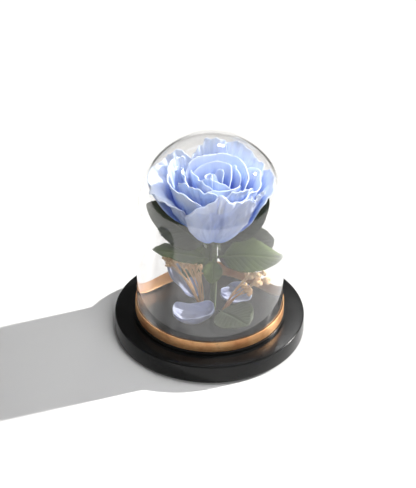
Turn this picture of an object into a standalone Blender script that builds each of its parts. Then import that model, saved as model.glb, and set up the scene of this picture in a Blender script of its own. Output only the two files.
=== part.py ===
"""Preserved blue rose standing in a glass dome on a round black base.

Units are metres, +Z is up, the front of the piece looks to -Y.
The origin is the centre of the underside of the base.
Sizes are written in millimetres and scaled by MM.
"""
import math

import bmesh
import bpy
import numpy as np
from mathutils import Matrix, Vector

MM = 0.001
GAP = 0.3                    # clearance between pieces that touch
SIDES = 36                   # facets around every turned piece
SHARP_ANGLE = 40             # degrees between faces that are still shaded as one curve

# Base, band and dome
BASE_RADIUS = 55.0
BASE_HEIGHT = 12.5
BASE_BEVEL = 0.7
BASE_FOOT_ROUND = 3.0
STEP_HEIGHT = 2.0
GLASS_RADIUS = 42.5
GLASS_WALL = 1.6
TOTAL_HEIGHT = 132.0
DOME_RINGS = 6
BAND_THICKNESS = 0.35
BAND_HEIGHT = 6.5
STEP_MARGIN = 0.85           # the step shows this far outside the band

FLOOR = BASE_HEIGHT + STEP_HEIGHT
GLASS_INNER = GLASS_RADIUS - GLASS_WALL
BAND_INNER = GLASS_RADIUS + GAP
BAND_OUTER = BAND_INNER + BAND_THICKNESS
STEP_RADIUS = BAND_OUTER + STEP_MARGIN
DOME_CENTRE = TOTAL_HEIGHT - GLASS_RADIUS

# Stem and bloom
STEM_FOOT = (1.3, 8.6)
BLOOM_BASE = (1.0, 6.5, 63.0)
BLOOM_TILT = math.radians(5.5)
CORE_RADIUS = 6.2            # the receptacle that carries the petals, at its foot
CORE_TAPER = 0.31
CORE_HEIGHTS = (0.3, 8.0, 17.0)
CORE_MARGIN = 0.25
STEM_SIDES = 20
STEM_BOW = 0.9               # sideways bow of the stem at half its height
STEM_PROFILE = ((0.0, 1.9), (0.3, 1.8), (0.6, 1.85), (0.86, 2.2), (0.95, 4.4))
SEPALS = 5
SEPAL_REACH = 4.0
SEPAL_DROP = 2.4
SEPAL_THICKNESS = 0.8
LEVEL_TOP = 17.5             # height of the innermost petal's claw
LEVEL_STEP = 2.0
CLAW_GAP = 0.75
CLAW_HALF_ANGLE = 21.0
PETAL_THICKNESS = 0.5
PETAL_COLUMN_ANGLE = 13.5    # degrees of rim that one column of facets spans
PETAL_ROWS = (0.0, 0.14, 0.34, 0.6, 0.82, 1.0)
PETAL_COLUMNS_LEAST = 5
CORNER_CUT = 0.20            # share of its height that a petal loses at its two side edges
CORNER_POWER = 4
CLAW_SPREAD = 4.0            # degrees that half a claw gains at each level inward
CLAW_SPREAD_LEVEL = 7        # from this level outward the claws are all alike
BELLY = 0.72                 # share of its height where a petal is full and its lip begins
BELLY_POWER = 1.2
FULLNESS_LOSS = 0.03         # the outer petals fill out earlier than the inner ones
RISE_POWER = 1.28
LIP_POWER = 1.6
LIP_SIDE_LOSS = 0.6          # share of its flare that a lip loses at the side edges

# name, level on the receptacle, azimuth at the two side edges, rim radius and rim height
# at five places between them, outward flare of the rim, droop of the flared rim
PETALS = (
    ("heart_petal_1", 0.0, 190, 340, (3.0, 2.3, 1.9, 2.2, 3.0), (43.5, 46, 47, 45.5, 42.5), 0, 0),
    ("heart_petal_2", 1.5, 312, 458, (5.4, 5.2, 5.6, 6.2, 6.4), (43.5, 45.5, 46, 45, 42.5), 0, 0),
    ("heart_petal_3", 0.8, 76, 240, (3.6, 4.4, 5.0, 5.2, 5.0), (41.5, 42.5, 43, 44, 43.5), 0, 0),
    ("inner_petal_1", 2.2, -37, 142, (10.8, 10.0, 12.0, 11.0, 16.0), (46.5, 45.6, 46, 45.5, 46), 0.6, 0.2),
    ("inner_petal_2", 2.8, 190, 326, (8.6, 7.3, 7.1, 9.4, 14.0), (46, 46.7, 47.6, 47, 48), 0.5, 0.1),
    ("inner_petal_3", 3.2, -8, 52, (15.2, 15.0, 13.9, 14.6, 15.2), (41.5, 44, 45, 45.5, 44.5), 0.4, 0),
    ("cup_petal_1", 4.7, -30, 142, (20.2, 19.4, 19.6, 17.0, 20.4), (50, 45.2, 46, 46.2, 52), 1.2, 0.4),
    ("cup_petal_2", 3.5, 148, 282, (17.0, 10.4, 9.3, 10.3, 12.6), (50, 45, 45, 45.3, 47), 0.6, 0.2),
    ("cup_petal_3", 4.1, 238, 346, (13.4, 13.0, 14.4, 15.8, 17.0), (44, 44.5, 44.5, 44.5, 48), 0.6, 0.2),
    ("middle_petal_1", 4.7, 147, 208, (21.0, 19.6, 18.0, 16.6, 16.0), (44.5, 45, 45, 44.5, 43.5), 0.8, 0.2),
    ("middle_petal_2", 5.4, 184, 282, (22.6, 18.0, 16.6, 17.4, 19.8), (48, 45.2, 45.8, 46.2, 54), 1.2, 0.3),
    ("middle_petal_3", 5.6, 50, 142, (23.0, 22.0, 21.4, 21.8, 22.8), (44, 42, 41.5, 42, 43), 1.4, 0.5),
    ("middle_petal_4", 7.0, -62, 44, (23.6, 23.6, 26.2, 27.2, 26.4), (45, 41.8, 40.5, 41.8, 44), 2.4, 0.8),
    ("middle_petal_5", 6.4, 284, 350, (19.4, 20.0, 21.2, 22.8, 24.2), (47.5, 47, 45.5, 44.3, 43.3), 1.4, 0.5),
    ("middle_petal_6", 6.4, 168, 262, (28.2, 26.0, 24.2, 22.8, 22.4), (50, 42.5, 43.5, 43, 41.5), 1.8, 0.6),
    ("middle_petal_7", 6.5, 129, 166, (25.2, 26.8, 28.4, 28.8, 29.2), (45.5, 43.6, 43, 42, 42), 2.4, 0.8),
    ("outer_petal_1", 8.4, 234, 332, (30.0, 28.0, 24.8, 23.5, 26.3, 27.8, 30.4),
     (42, 43, 45.8, 48.8, 43.2, 45, 44), 2.4, 0.8),
    ("outer_petal_2", 7.7, 302, 354, (26.0, 26.2, 27.4, 29.2, 30.4), (41, 42, 41, 40.5, 43), 3.0, 1.2),
    ("outer_petal_3", 8.4, 334, 402, (34.4, 33.6, 34.8, 34.6, 33.6), (40, 38, 41, 37.5, 41), 5.6, 2.4),
    ("outer_petal_4", 7.5, 14, 86, (32.6, 32.8, 31.4, 31.2, 32.2), (46, 40.5, 44.5, 47.8, 48), 5.2, 2.0),
    ("outer_petal_5", 6.6, 70, 127, (27.4, 27.8, 27.2, 25.2, 25.4), (49, 50.3, 48.8, 46.2, 46), 3.5, 1.5),
    ("outer_petal_6", 8.4, 118, 182, (31.0, 33.5, 37.0, 38.5, 42.0), (45, 42, 39, 37.5, 42), 6.0, 2.5),
    ("outer_petal_7", 7.7, 150, 222, (37.0, 38.0, 37.8, 33.0, 30.0), (47, 41.5, 38.5, 36, 36), 9.0, 4.0),
)

# Degrees that one side edge of a petal leans over towards the other at its foot
SIDE_LEAN = {"outer_petal_1": 20.0}

# Leaves: foot on the stem, tip, direction its upper face looks, half width, arch, fold
LEAF_THICKNESS = 0.45
LEAF_COLUMNS = 4
LEAF_ROWS = 9
LEAF_TOOTH = 0.07
LEAF_TOOTH_BAND = 0.9        # the teeth are outside this share of the half width
LEAF_WIDEST = 0.85           # below 1 the leaf is widest nearer to its foot
LEAF_ROUNDNESS = 0.65
LEAF_FOLD_POWER = 1.5
PETIOLE = 0.09               # share of the length that is bare stalk
PETIOLE_HALF_WIDTH = 0.55
LEAVES = (
    ("leaf_right_front", (4.9, 6.4, 48.5), (39.2, 1.5, 53.0), (0.05, -0.45, 0.89), 9.8, 2.5, -0.12),
    ("leaf_right_back", (4.2, 9.6, 56.0), (33.4, 17.0, 82.0), (0.1, -0.45, 0.89), 11.5, -3.0, 0.1),
    ("leaf_right_middle", (1.4, 10.8, 44.0), (36.0, 13.4, 57.5), (0.25, -0.55, 0.80), 11.8, 0.8, 0.1),
    ("leaf_left_back", (-2.6, 9.5, 51.5), (-38.4, 9.0, 81.5), (0.55, -0.50, 0.66), 12.0, 0.6, 0.04),
    ("leaf_left_front", (-1.2, 5.4, 48.0), (-32.5, -6.5, 62.0), (0.0, -0.10, 0.99), 8.0, 0.2, 0.04),
    ("leaf_small_front", (1.6, 4.3, 49.0), (0.8, -1.6, 37.5), (0.1, -0.90, 0.42), 5.4, 1.0, 0.2),
    ("leaf_small_left", (-0.2, 13.4, 56.0), (-14.6, 16.4, 29.8), (0.1, -0.85, 0.50), 7.6, 1.5, 0.1),
)
FALLEN_LEAF = ("fallen_leaf", (5.0, 2.6, 18.2), (21.4, -14.8, 18.2), (-0.06, -0.28, 0.95), 12.0, 1.2, 0.1)

# Fallen petals: centre, heading, roll and pitch in degrees, length, half width, curl across, along
FALLEN_PETALS = (
    ("fallen_petal_back", (-16.0, 17.5, 29.5), 160, -38, -52, 27.0, 7.8, 1.0, 0.5),
    ("fallen_petal_front", (-7.6, -6.0, 15.9), 187, -5, 8, 27.0, 12.6, 1.40, 1.05),
    ("fallen_petal_right", (13.8, 17.6, 18.4), 12, 24, 0, 17.0, 7.4, 0.6, 0.5),
)
FALLEN_COLUMNS = 5
FALLEN_ROWS = 6
FALLEN_THICKNESS = 0.45
FALLEN_BLUNTNESS = 0.06      # width left at the two ends, as a share of its square
FALLEN_FOOT_WIDTH = 0.72     # width at the foot, as a share of the half width
FALLEN_WIDTH_GAIN = 0.34

# Dried filler: foot, then the tips of its stalks with the radius of the blossom on each
SPRIG_SIDES = 4
SPRIG_STEPS = 3
SPRIG_RADIUS = 0.45
SPRIG_KNOT = 1.0
SPRIG_BOW = 0.16             # rise of a stalk at mid length, as a share of that length
SPRIG_FOOT_SIZE = 1.15       # stalk radius at its foot, in units of SPRIG_RADIUS
SPRIG_TAPER = 0.4
BLOSSOM_TURN = 0.9           # turn from one blossom head to the next, in radians
BLOSSOM_LEAN = 1.7           # how much faster a head leans than it turns
SPRIG_LEFT = ("dried_sprig_left", (-3.4, 5.2), (
    ((-24.9, 5.0, 49.5), 2.8), ((-23.3, 4.5, 45.5), 2.4), ((-20.0, 6.0, 49.0), 3.2),
    ((-15.0, 5.0, 47.0), 3.6), ((-10.4, 4.0, 45.6), 3.0), ((-6.3, 2.8, 45.0), 2.1),
    ((-6.4, 3.2, 39.6), 1.7)))
SPRIG_RIGHT = ("dried_sprig_right", (6.6, 4.4), (
    ((24.0, 4.0, 41.5), 2.4), ((28.0, 4.5, 42.0), 2.7), ((20.5, 5.0, 38.5), 2.3),
    ((30.5, 4.0, 36.5), 2.2), ((26.0, 3.0, 36.0), 3.0), ((22.0, 2.4, 30.5), 2.6),
    ((18.6, 3.4, 33.0), 1.9)))

# Colours, as linear RGB
BLACK = (0.012, 0.012, 0.013)
COPPER = (0.72, 0.38, 0.17)
PETAL_BLUE = (0.34, 0.47, 0.88)
LEAF_GREEN = (0.055, 0.12, 0.03)
STEM_GREEN = (0.06, 0.10, 0.03)
STRAW = (0.62, 0.36, 0.16)


def clear_scene():
    """Start from an empty scene."""
    for item in list(bpy.data.objects):
        bpy.data.objects.remove(item)


def make_material(name, colour, roughness, metallic=0.0, transmission=0.0):
    """One plain material with the part's colour and finish."""
    material = bpy.data.materials.new(name)
    material.use_nodes = True
    shader = material.node_tree.nodes["Principled BSDF"]
    shader.inputs["Base Color"].default_value = (*colour, 1.0)
    shader.inputs["Roughness"].default_value = roughness
    shader.inputs["Metallic"].default_value = metallic
    shader.inputs["Transmission Weight"].default_value = transmission
    return material


def make_object(name, points, faces, material):
    """A mesh object from points in millimetres."""
    mesh = bpy.data.meshes.new(name)
    mesh.from_pydata([tuple(MM * c for c in point) for point in points], [], faces)
    mesh.update()
    item = bpy.data.objects.new(name, mesh)
    bpy.context.scene.collection.objects.link(item)
    mesh.materials.append(material)
    mesh.shade_smooth()
    mesh.set_sharp_from_angle(angle=math.radians(SHARP_ANGLE))
    return item


def outward(item):
    """Turn all the faces of a closed mesh to the outside."""
    shape = bmesh.new()
    shape.from_mesh(item.data)
    bmesh.ops.recalc_face_normals(shape, faces=shape.faces)
    shape.to_mesh(item.data)
    shape.free()


def rings_of(profile, points):
    """Add one ring of points for each (radius, height), or one point on the axis."""
    rings = []
    for radius, height in profile:
        if radius == 0:
            rings.append([len(points)] * SIDES)
            points.append((0, 0, height))
            continue
        rings.append(list(range(len(points), len(points) + SIDES)))
        for side in range(SIDES):
            angle = 2 * math.pi * side / SIDES
            points.append((radius * math.cos(angle), radius * math.sin(angle), height))
    return rings


def walls(rings):
    """Faces between each ring and the next one."""
    faces = []
    for low, high in zip(rings, rings[1:]):
        for side in range(SIDES):
            after = (side + 1) % SIDES
            face = list(dict.fromkeys([low[side], low[after], high[after], high[side]]))
            if len(face) > 2:
                faces.append(face)
    return faces


def turned(name, profile, material, closed=False):
    """Turn a profile of (radius, height) points around the Z axis; closed joins its two ends."""
    points = []
    rings = rings_of(profile, points)
    item = make_object(name, points, walls(rings + rings[:1] if closed else rings), material)
    outward(item)


def make_base(material):
    """Round black plinth with the low raised step that the dome stands on."""
    step_bevel = BASE_BEVEL / 2
    foot_cut = BASE_FOOT_ROUND * (1 - math.cos(math.pi / 4))
    turned("base", (
        (0, 0), (BASE_RADIUS - BASE_FOOT_ROUND, 0), (BASE_RADIUS - foot_cut, foot_cut),
        (BASE_RADIUS, BASE_FOOT_ROUND),
        (BASE_RADIUS, BASE_HEIGHT - BASE_BEVEL), (BASE_RADIUS - BASE_BEVEL, BASE_HEIGHT),
        (STEP_RADIUS, BASE_HEIGHT), (STEP_RADIUS, FLOOR - step_bevel),
        (STEP_RADIUS - step_bevel, FLOOR), (0, FLOOR)), material)


def make_band(material):
    """Thin copper-coloured band around the foot of the dome."""
    low = FLOOR + GAP
    turned("gold_band", (
        (BAND_INNER, low), (BAND_OUTER, low),
        (BAND_OUTER, low + BAND_HEIGHT), (BAND_INNER, low + BAND_HEIGHT)), material, closed=True)


def dome_arc(radius):
    """Profile of one face of the glass, from its foot up to the pole."""
    arc = [(radius, FLOOR + GAP)]
    for ring in range(DOME_RINGS):
        angle = math.pi / 2 * ring / DOME_RINGS
        arc.append((radius * math.cos(angle), DOME_CENTRE + radius * math.sin(angle)))
    arc.append((0, DOME_CENTRE + radius))
    return arc


def make_dome(material):
    """Open-bottomed glass dome: a straight wall under a half sphere."""
    points = []
    outer = rings_of(dome_arc(GLASS_RADIUS), points)
    inner = rings_of(dome_arc(GLASS_INNER), points)
    faces = walls(outer) + walls(inner) + walls([outer[0], inner[0]])
    outward(make_object("glass_dome", points, faces, material))


def along(values, u):
    """Smooth curve through evenly spaced values, for u from -1 to 1."""
    values = np.asarray(values, float)
    place = (np.clip(u, -1, 1) + 1) / 2 * (len(values) - 1)
    left = np.clip(place.astype(int), 0, len(values) - 2)
    f = place - left
    padded = np.concatenate(([2 * values[0] - values[1]], values, [2 * values[-1] - values[-2]]))
    p0, p1, p2, p3 = (padded[left + k] for k in range(4))
    return 0.5 * (2 * p1 + (p2 - p0) * f + (2 * p0 - 5 * p1 + 4 * p2 - p3) * f ** 2
                  + (3 * p1 - p0 - 3 * p2 + p3) * f ** 3)


def petal_surface(spec, u, t):
    """Points of a bloom petal: u runs across from -1 to 1, t from its claw to its rim."""
    level, start, end, radii, heights, flare, droop = spec[1:]
    claw_height = LEVEL_TOP - LEVEL_STEP * level
    claw_radius = CORE_RADIUS - CORE_TAPER * claw_height + CLAW_GAP
    centre, half = (start + end) / 2, (end - start) / 2
    rim_radius = along(radii, u)
    rim_height = along(heights, u)
    spread = CLAW_SPREAD * max(CLAW_SPREAD_LEVEL - level, 0)
    claw_half = min(CLAW_HALF_ANGLE + spread, half)
    widening = np.sin(np.clip(t / BELLY, 0, 1) * math.pi / 2) ** BELLY_POWER
    lean = SIDE_LEAN.get(spec[0], 0.0) * (1 - t) * (1 + u) / 2
    azimuth = np.radians(centre + u * (claw_half + (half - claw_half) * widening) - lean)
    corner = u ** CORNER_POWER
    lip = np.clip((t - BELLY) / (1 - BELLY), 0, 1) * (1 - LIP_SIDE_LOSS * corner)
    share = t * (1 - CORNER_CUT * corner)
    cup = np.sin(math.pi / 2 * share) ** (1 - FULLNESS_LOSS * level)
    radius = claw_radius + (rim_radius - flare - claw_radius) * cup + flare * lip ** LIP_POWER
    height = claw_height + (rim_height + droop - claw_height) * share ** RISE_POWER - droop * lip ** 2
    x, y = radius * np.cos(azimuth), radius * np.sin(azimuth)
    cos_tilt, sin_tilt = math.cos(BLOOM_TILT), math.sin(BLOOM_TILT)
    return np.stack((BLOOM_BASE[0] + x,
                     BLOOM_BASE[1] + y * cos_tilt - height * sin_tilt,
                     BLOOM_BASE[2] + y * sin_tilt + height * cos_tilt), axis=-1)


def sheet(name, grid, thickness, material):
    """A thin closed piece of even thickness around a grid of points."""
    rows, columns = grid.shape[:2]
    faces = []
    for row in range(rows - 1):
        for column in range(columns - 1):
            corner = row * columns + column
            faces.append((corner, corner + 1, corner + columns + 1, corner + columns))
    item = make_object(name, grid.reshape(-1, 3).tolist(), faces, material)
    body = item.modifiers.new("thickness", "SOLIDIFY")
    body.thickness = thickness * MM
    body.offset = 0
    return item


def make_petals(material):
    """All the petals of the bloom, each a thin curved sheet."""
    for spec in PETALS:
        columns = max(PETAL_COLUMNS_LEAST, round((spec[3] - spec[2]) / PETAL_COLUMN_ANGLE))
        u, t = np.meshgrid(np.linspace(-1, 1, columns + 1), np.array(PETAL_ROWS))
        sheet(spec[0], petal_surface(spec, u, t), PETAL_THICKNESS, material)


def blade(u, v, length, half_width, arch, fold):
    """A leaf along +X with its upper face to +Z, from the foot of its stalk at the origin."""
    inside = np.clip((v - PETIOLE) / (1 - PETIOLE), 0, 1)
    outline = np.sin(math.pi * inside ** LEAF_WIDEST) ** LEAF_ROUNDNESS
    in_or_out = np.where(np.round(v * LEAF_ROWS) % 2 == 0, -1, 1)
    teeth = 1 + LEAF_TOOTH * in_or_out * (np.abs(u) > LEAF_TOOTH_BAND)
    half = np.maximum(half_width * outline * teeth, PETIOLE_HALF_WIDTH)
    z = arch * np.sin(math.pi * v) + fold * np.abs(u) ** LEAF_FOLD_POWER * half
    return v * length, u * half, z


def place(x, y, z, origin, along_axis, up_hint):
    """Put local points at an origin, with +X along one direction and +Z near another."""
    axis_x = Vector(along_axis).normalized()
    axis_y = Vector(up_hint).cross(axis_x).normalized()
    axis_z = axis_x.cross(axis_y)
    turn = np.array([axis_x, axis_y, axis_z])
    return np.stack((x, y, z), axis=-1) @ turn + np.array(origin)


def make_leaf(spec, material):
    """One serrated leaf with its stalk, arched along its length and folded at its rib."""
    name, foot, tip, facing, half_width, arch, fold = spec
    direction = np.array(tip) - np.array(foot)
    length = float(np.linalg.norm(direction))
    u, v = np.meshgrid(np.linspace(-1, 1, LEAF_COLUMNS + 1), np.linspace(0, 1, LEAF_ROWS + 1))
    x, y, z = blade(u, v, length, half_width, arch, fold)
    sheet(name, place(x, y, z, foot, direction, facing), LEAF_THICKNESS, material)


def curled(u, v, length, half_width, curl_across, curl_along):
    """A loose petal, bent up at its sides and ends; its middle is at the origin."""
    rounded = np.sqrt(1 - (2 * v - 1) ** 2 * (1 - FALLEN_BLUNTNESS))
    across = u * curl_across
    reach = half_width * rounded * (FALLEN_FOOT_WIDTH + FALLEN_WIDTH_GAIN * v) / curl_across
    y = reach * np.sin(across)
    lift_across = reach * (1 - np.cos(across))
    angle = (v - 0.5) * 2 * curl_along
    x = length / 2 / curl_along * np.sin(angle)
    lift_along = length / 2 / curl_along * (1 - np.cos(angle))
    return x, y, lift_across + lift_along


def make_fallen_petal(spec, material):
    """One loose petal lying on the floor of the dome."""
    name, centre, heading, roll, pitch, length, half_width, curl_across, curl_along = spec
    u, v = np.meshgrid(np.linspace(-1, 1, FALLEN_COLUMNS + 1), np.linspace(0, 1, FALLEN_ROWS + 1))
    local = np.stack(curled(u, v, length, half_width, curl_across, curl_along), axis=-1)
    turn = (Matrix.Rotation(math.radians(heading), 3, "Z") @ Matrix.Rotation(math.radians(pitch), 3, "Y")
            @ Matrix.Rotation(math.radians(roll), 3, "X"))
    grid = local @ np.array(turn).T + np.array(centre)
    sheet(name, grid, FALLEN_THICKNESS, material)


def stem_loop(centre, radii, drops, tilt):
    """Points around the stem, with a radius and a drop of its own at every side."""
    points = []
    for side, (radius, drop) in enumerate(zip(radii, drops)):
        angle = 2 * math.pi * side / STEM_SIDES
        out = radius * math.sin(angle)
        points.append((centre.x + radius * math.cos(angle),
                       centre.y + out * math.cos(tilt) + drop * math.sin(tilt),
                       centre.z + out * math.sin(tilt) - drop * math.cos(tilt)))
    return points


def make_stem(material):
    """Stem, the receptacle that carries the petals and five sepals, grown as one piece."""
    foot = Vector((*STEM_FOOT, FLOOR + GAP))
    top = Vector(BLOOM_BASE)
    axis = Vector((0, -math.sin(BLOOM_TILT), math.cos(BLOOM_TILT)))
    level = [0.0] * STEM_SIDES
    loops = []
    for share, radius in STEM_PROFILE:
        centre = foot.lerp(top, share)
        centre.x += STEM_BOW * math.sin(math.pi * share)
        loops.append(stem_loop(centre, [radius] * STEM_SIDES, level, 0.0))
    spikes = [max(0.0, math.cos(2 * math.pi * SEPALS * side / STEM_SIDES)) for side in range(STEM_SIDES)]
    reach = [CORE_RADIUS + SEPAL_REACH * spike for spike in spikes]
    for thickness in (SEPAL_THICKNESS, 0.0):
        drops = [thickness + SEPAL_DROP * spike for spike in spikes]
        loops.append(stem_loop(top, reach, drops, BLOOM_TILT))
    for height in CORE_HEIGHTS:
        radius = CORE_RADIUS - CORE_TAPER * height - CORE_MARGIN
        loops.append(stem_loop(top + axis * height, [radius] * STEM_SIDES, level, BLOOM_TILT))
    points = [point for loop in loops for point in loop]
    faces = [tuple(range(STEM_SIDES))]
    for low in range(len(loops) - 1):
        for side in range(STEM_SIDES):
            after = (side + 1) % STEM_SIDES
            faces.append((low * STEM_SIDES + side, low * STEM_SIDES + after,
                          (low + 1) * STEM_SIDES + after, (low + 1) * STEM_SIDES + side))
    last = (len(loops) - 1) * STEM_SIDES
    faces.append(tuple(range(last, last + STEM_SIDES)))
    outward(make_object("stem", points, faces, material))


def stalk(start, end, bow):
    """A slim tapered stalk from one point to another, bowed upward."""
    start, end = Vector(start), Vector(end)
    rings = []
    for step in range(SPRIG_STEPS + 1):
        share = step / SPRIG_STEPS
        centre = start.lerp(end, share)
        centre.z += bow * (end - start).length * math.sin(math.pi * share)
        rings.append((centre, SPRIG_RADIUS * (SPRIG_FOOT_SIZE - SPRIG_TAPER * share)))
    axis = (end - start).normalized()
    side_axis = axis.cross(Vector((0, 1, 0))).normalized()
    other_axis = axis.cross(side_axis)
    points, faces = [], []
    for centre, radius in rings:
        for side in range(SPRIG_SIDES):
            angle = 2 * math.pi * side / SPRIG_SIDES
            points.append(centre + radius * (math.cos(angle) * side_axis + math.sin(angle) * other_axis))
    for step in range(SPRIG_STEPS):
        for side in range(SPRIG_SIDES):
            after = (side + 1) % SPRIG_SIDES
            low, high = step * SPRIG_SIDES, (step + 1) * SPRIG_SIDES
            faces.append((low + side, low + after, high + after, high + side))
    faces.append(tuple(range(SPRIG_SIDES))[::-1])
    last = SPRIG_STEPS * SPRIG_SIDES
    faces.append(tuple(range(last, last + SPRIG_SIDES)))
    return [tuple(point) for point in points], faces


def blossom(centre, radius, turn):
    """A rough many-sided head for a dried blossom."""
    shape = bmesh.new()
    spin = Matrix.Rotation(turn, 4, "Z") @ Matrix.Rotation(turn * BLOSSOM_LEAN, 4, "X")
    bmesh.ops.create_icosphere(shape, subdivisions=1, radius=radius, matrix=spin)
    points = [tuple(vertex.co + Vector(centre)) for vertex in shape.verts]
    faces = [tuple(vertex.index for vertex in face.verts) for face in shape.faces]
    shape.free()
    return points, faces


def make_sprig(spec, material):
    """Dried filler: a fan of stalks from one foot, with a blossom head on each."""
    name, foot, tips = spec
    low = (foot[0], foot[1], FLOOR + GAP + SPRIG_KNOT)
    knot = make_object(name, *blossom(low, SPRIG_KNOT, 0.0), material)
    outward(knot)
    cutters = bpy.data.collections.new(name + "_parts")
    for index, (tip, radius) in enumerate(tips):
        pieces = (stalk(low, tip, SPRIG_BOW if index % 2 else SPRIG_BOW / 2),
                  blossom(tip, radius, BLOSSOM_TURN * (index + 0.5)))
        for kind, (points, faces) in zip(("stalk", "head"), pieces):
            piece = make_object(f"{name}_{kind}_{index}", points, faces, material)
            outward(piece)
            bpy.context.scene.collection.objects.unlink(piece)
            cutters.objects.link(piece)
            piece.hide_render = True
            piece.display_type = "WIRE"
    bpy.context.scene.collection.children.link(cutters)
    join = knot.modifiers.new("join", "BOOLEAN")
    join.operation = "UNION"
    join.operand_type = "COLLECTION"
    join.collection = cutters
    join.solver = "EXACT"


def main():
    clear_scene()
    black = make_material("black_base", BLACK, 0.28)
    copper = make_material("copper_band", COPPER, 0.25, metallic=1.0)
    glass = make_material("clear_glass", (1.0, 1.0, 1.0), 0.02, transmission=1.0)
    petal = make_material("blue_petal", PETAL_BLUE, 0.6)
    leaf = make_material("green_leaf", LEAF_GREEN, 0.45)
    stem = make_material("green_stem", STEM_GREEN, 0.6)
    straw = make_material("dried_straw", STRAW, 0.85)
    make_base(black)
    make_band(copper)
    make_dome(glass)
    make_stem(stem)
    make_petals(petal)
    for spec in LEAVES + (FALLEN_LEAF,):
        make_leaf(spec, leaf)
    for spec in FALLEN_PETALS:
        make_fallen_petal(spec, petal)
    make_sprig(SPRIG_LEFT, straw)
    make_sprig(SPRIG_RIGHT, straw)


main()
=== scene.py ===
import math

import bmesh
import bpy
import numpy as np
from mathutils import Matrix, Vector


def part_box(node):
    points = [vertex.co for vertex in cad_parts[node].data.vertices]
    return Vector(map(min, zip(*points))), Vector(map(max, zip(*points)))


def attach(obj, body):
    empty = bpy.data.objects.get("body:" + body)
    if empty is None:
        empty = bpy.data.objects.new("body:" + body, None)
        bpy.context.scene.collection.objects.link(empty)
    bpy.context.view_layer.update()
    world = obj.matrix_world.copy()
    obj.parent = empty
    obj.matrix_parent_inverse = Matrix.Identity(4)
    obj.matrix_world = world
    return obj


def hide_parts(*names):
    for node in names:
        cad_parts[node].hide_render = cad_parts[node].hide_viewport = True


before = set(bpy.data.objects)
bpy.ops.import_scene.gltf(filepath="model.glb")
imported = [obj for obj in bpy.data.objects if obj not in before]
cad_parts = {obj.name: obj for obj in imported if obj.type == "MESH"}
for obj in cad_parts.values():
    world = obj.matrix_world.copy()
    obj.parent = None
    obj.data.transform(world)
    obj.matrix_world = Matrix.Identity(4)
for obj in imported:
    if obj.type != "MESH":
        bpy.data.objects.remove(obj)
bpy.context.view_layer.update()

# Looks of the preserved rose in its glass dome. Sizes are in millimetres, scaled by MM.
# +Z is up, the front looks to -Y, and the origin is the centre of the underside of the base.
MM = 0.001

# Facets around every turned piece, steps of its rounded edges, and where its shading breaks
SIDES = 160
BEVEL_STEPS = 6
SHARP_ANGLE = math.radians(35)

# Turned pieces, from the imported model
BASE_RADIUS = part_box("base")[1][0] / MM
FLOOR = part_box("base")[1][2] / MM
GLASS_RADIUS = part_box("glass_dome")[1][0] / MM
GLASS_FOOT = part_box("glass_dome")[0][2] / MM
TOTAL_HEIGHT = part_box("glass_dome")[1][2] / MM
BAND_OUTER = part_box("gold_band")[1][0] / MM
BAND_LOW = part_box("gold_band")[0][2] / MM
BAND_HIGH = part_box("gold_band")[1][2] / MM
BASE_TOP = 12.5
BASE_BEVEL = 0.9
BASE_FOOT_BEVEL = 3.0
STEP_RADIUS = BAND_OUTER + 0.85
STEP_BEVEL = 0.35
BAND_THICKNESS = 0.35
BAND_EDGE = 0.12
GLASS_WALL = 1.6
DOME_CENTRE = TOTAL_HEIGHT - GLASS_RADIUS
DOME_RINGS = 40
DOME_FOOT_POINTS = 9
GLASS_TINT = (0.30, 0.24, 0.20)
GLASS_DENSITY = 12.0
GLASS_IOR = 1.65

# Bloom: where it stands, and the shared shape of its petals
BLOOM_BASE = (1.0, 6.5, 63.0)
BLOOM_TILT = math.radians(5.5)
CORE_RADIUS = 6.2
CORE_TAPER = 0.31
LEVEL_TOP = 17.5
LEVEL_STEP = 2.0
CLAW_GAP = 0.75
CLAW_HALF_ANGLE = 21.0
CLAW_SPREAD = 4.0
CLAW_SPREAD_LEVEL = 7
CORNER_CUT = 0.20
CORNER_POWER = 4
BELLY = 0.72
BELLY_POWER = 1.2
FULLNESS_LOSS = 0.03
RISE_POWER = 1.28
LIP_POWER = 1.6
LIP_SIDE_LOSS = 0.6
PETAL_THICKNESS = 0.34
DEGREES_PER_COLUMN = 1.6
PETAL_ROWS = 44
ROLL_ROWS = 6
ROLL_ANGLE = math.radians(150)

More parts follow.
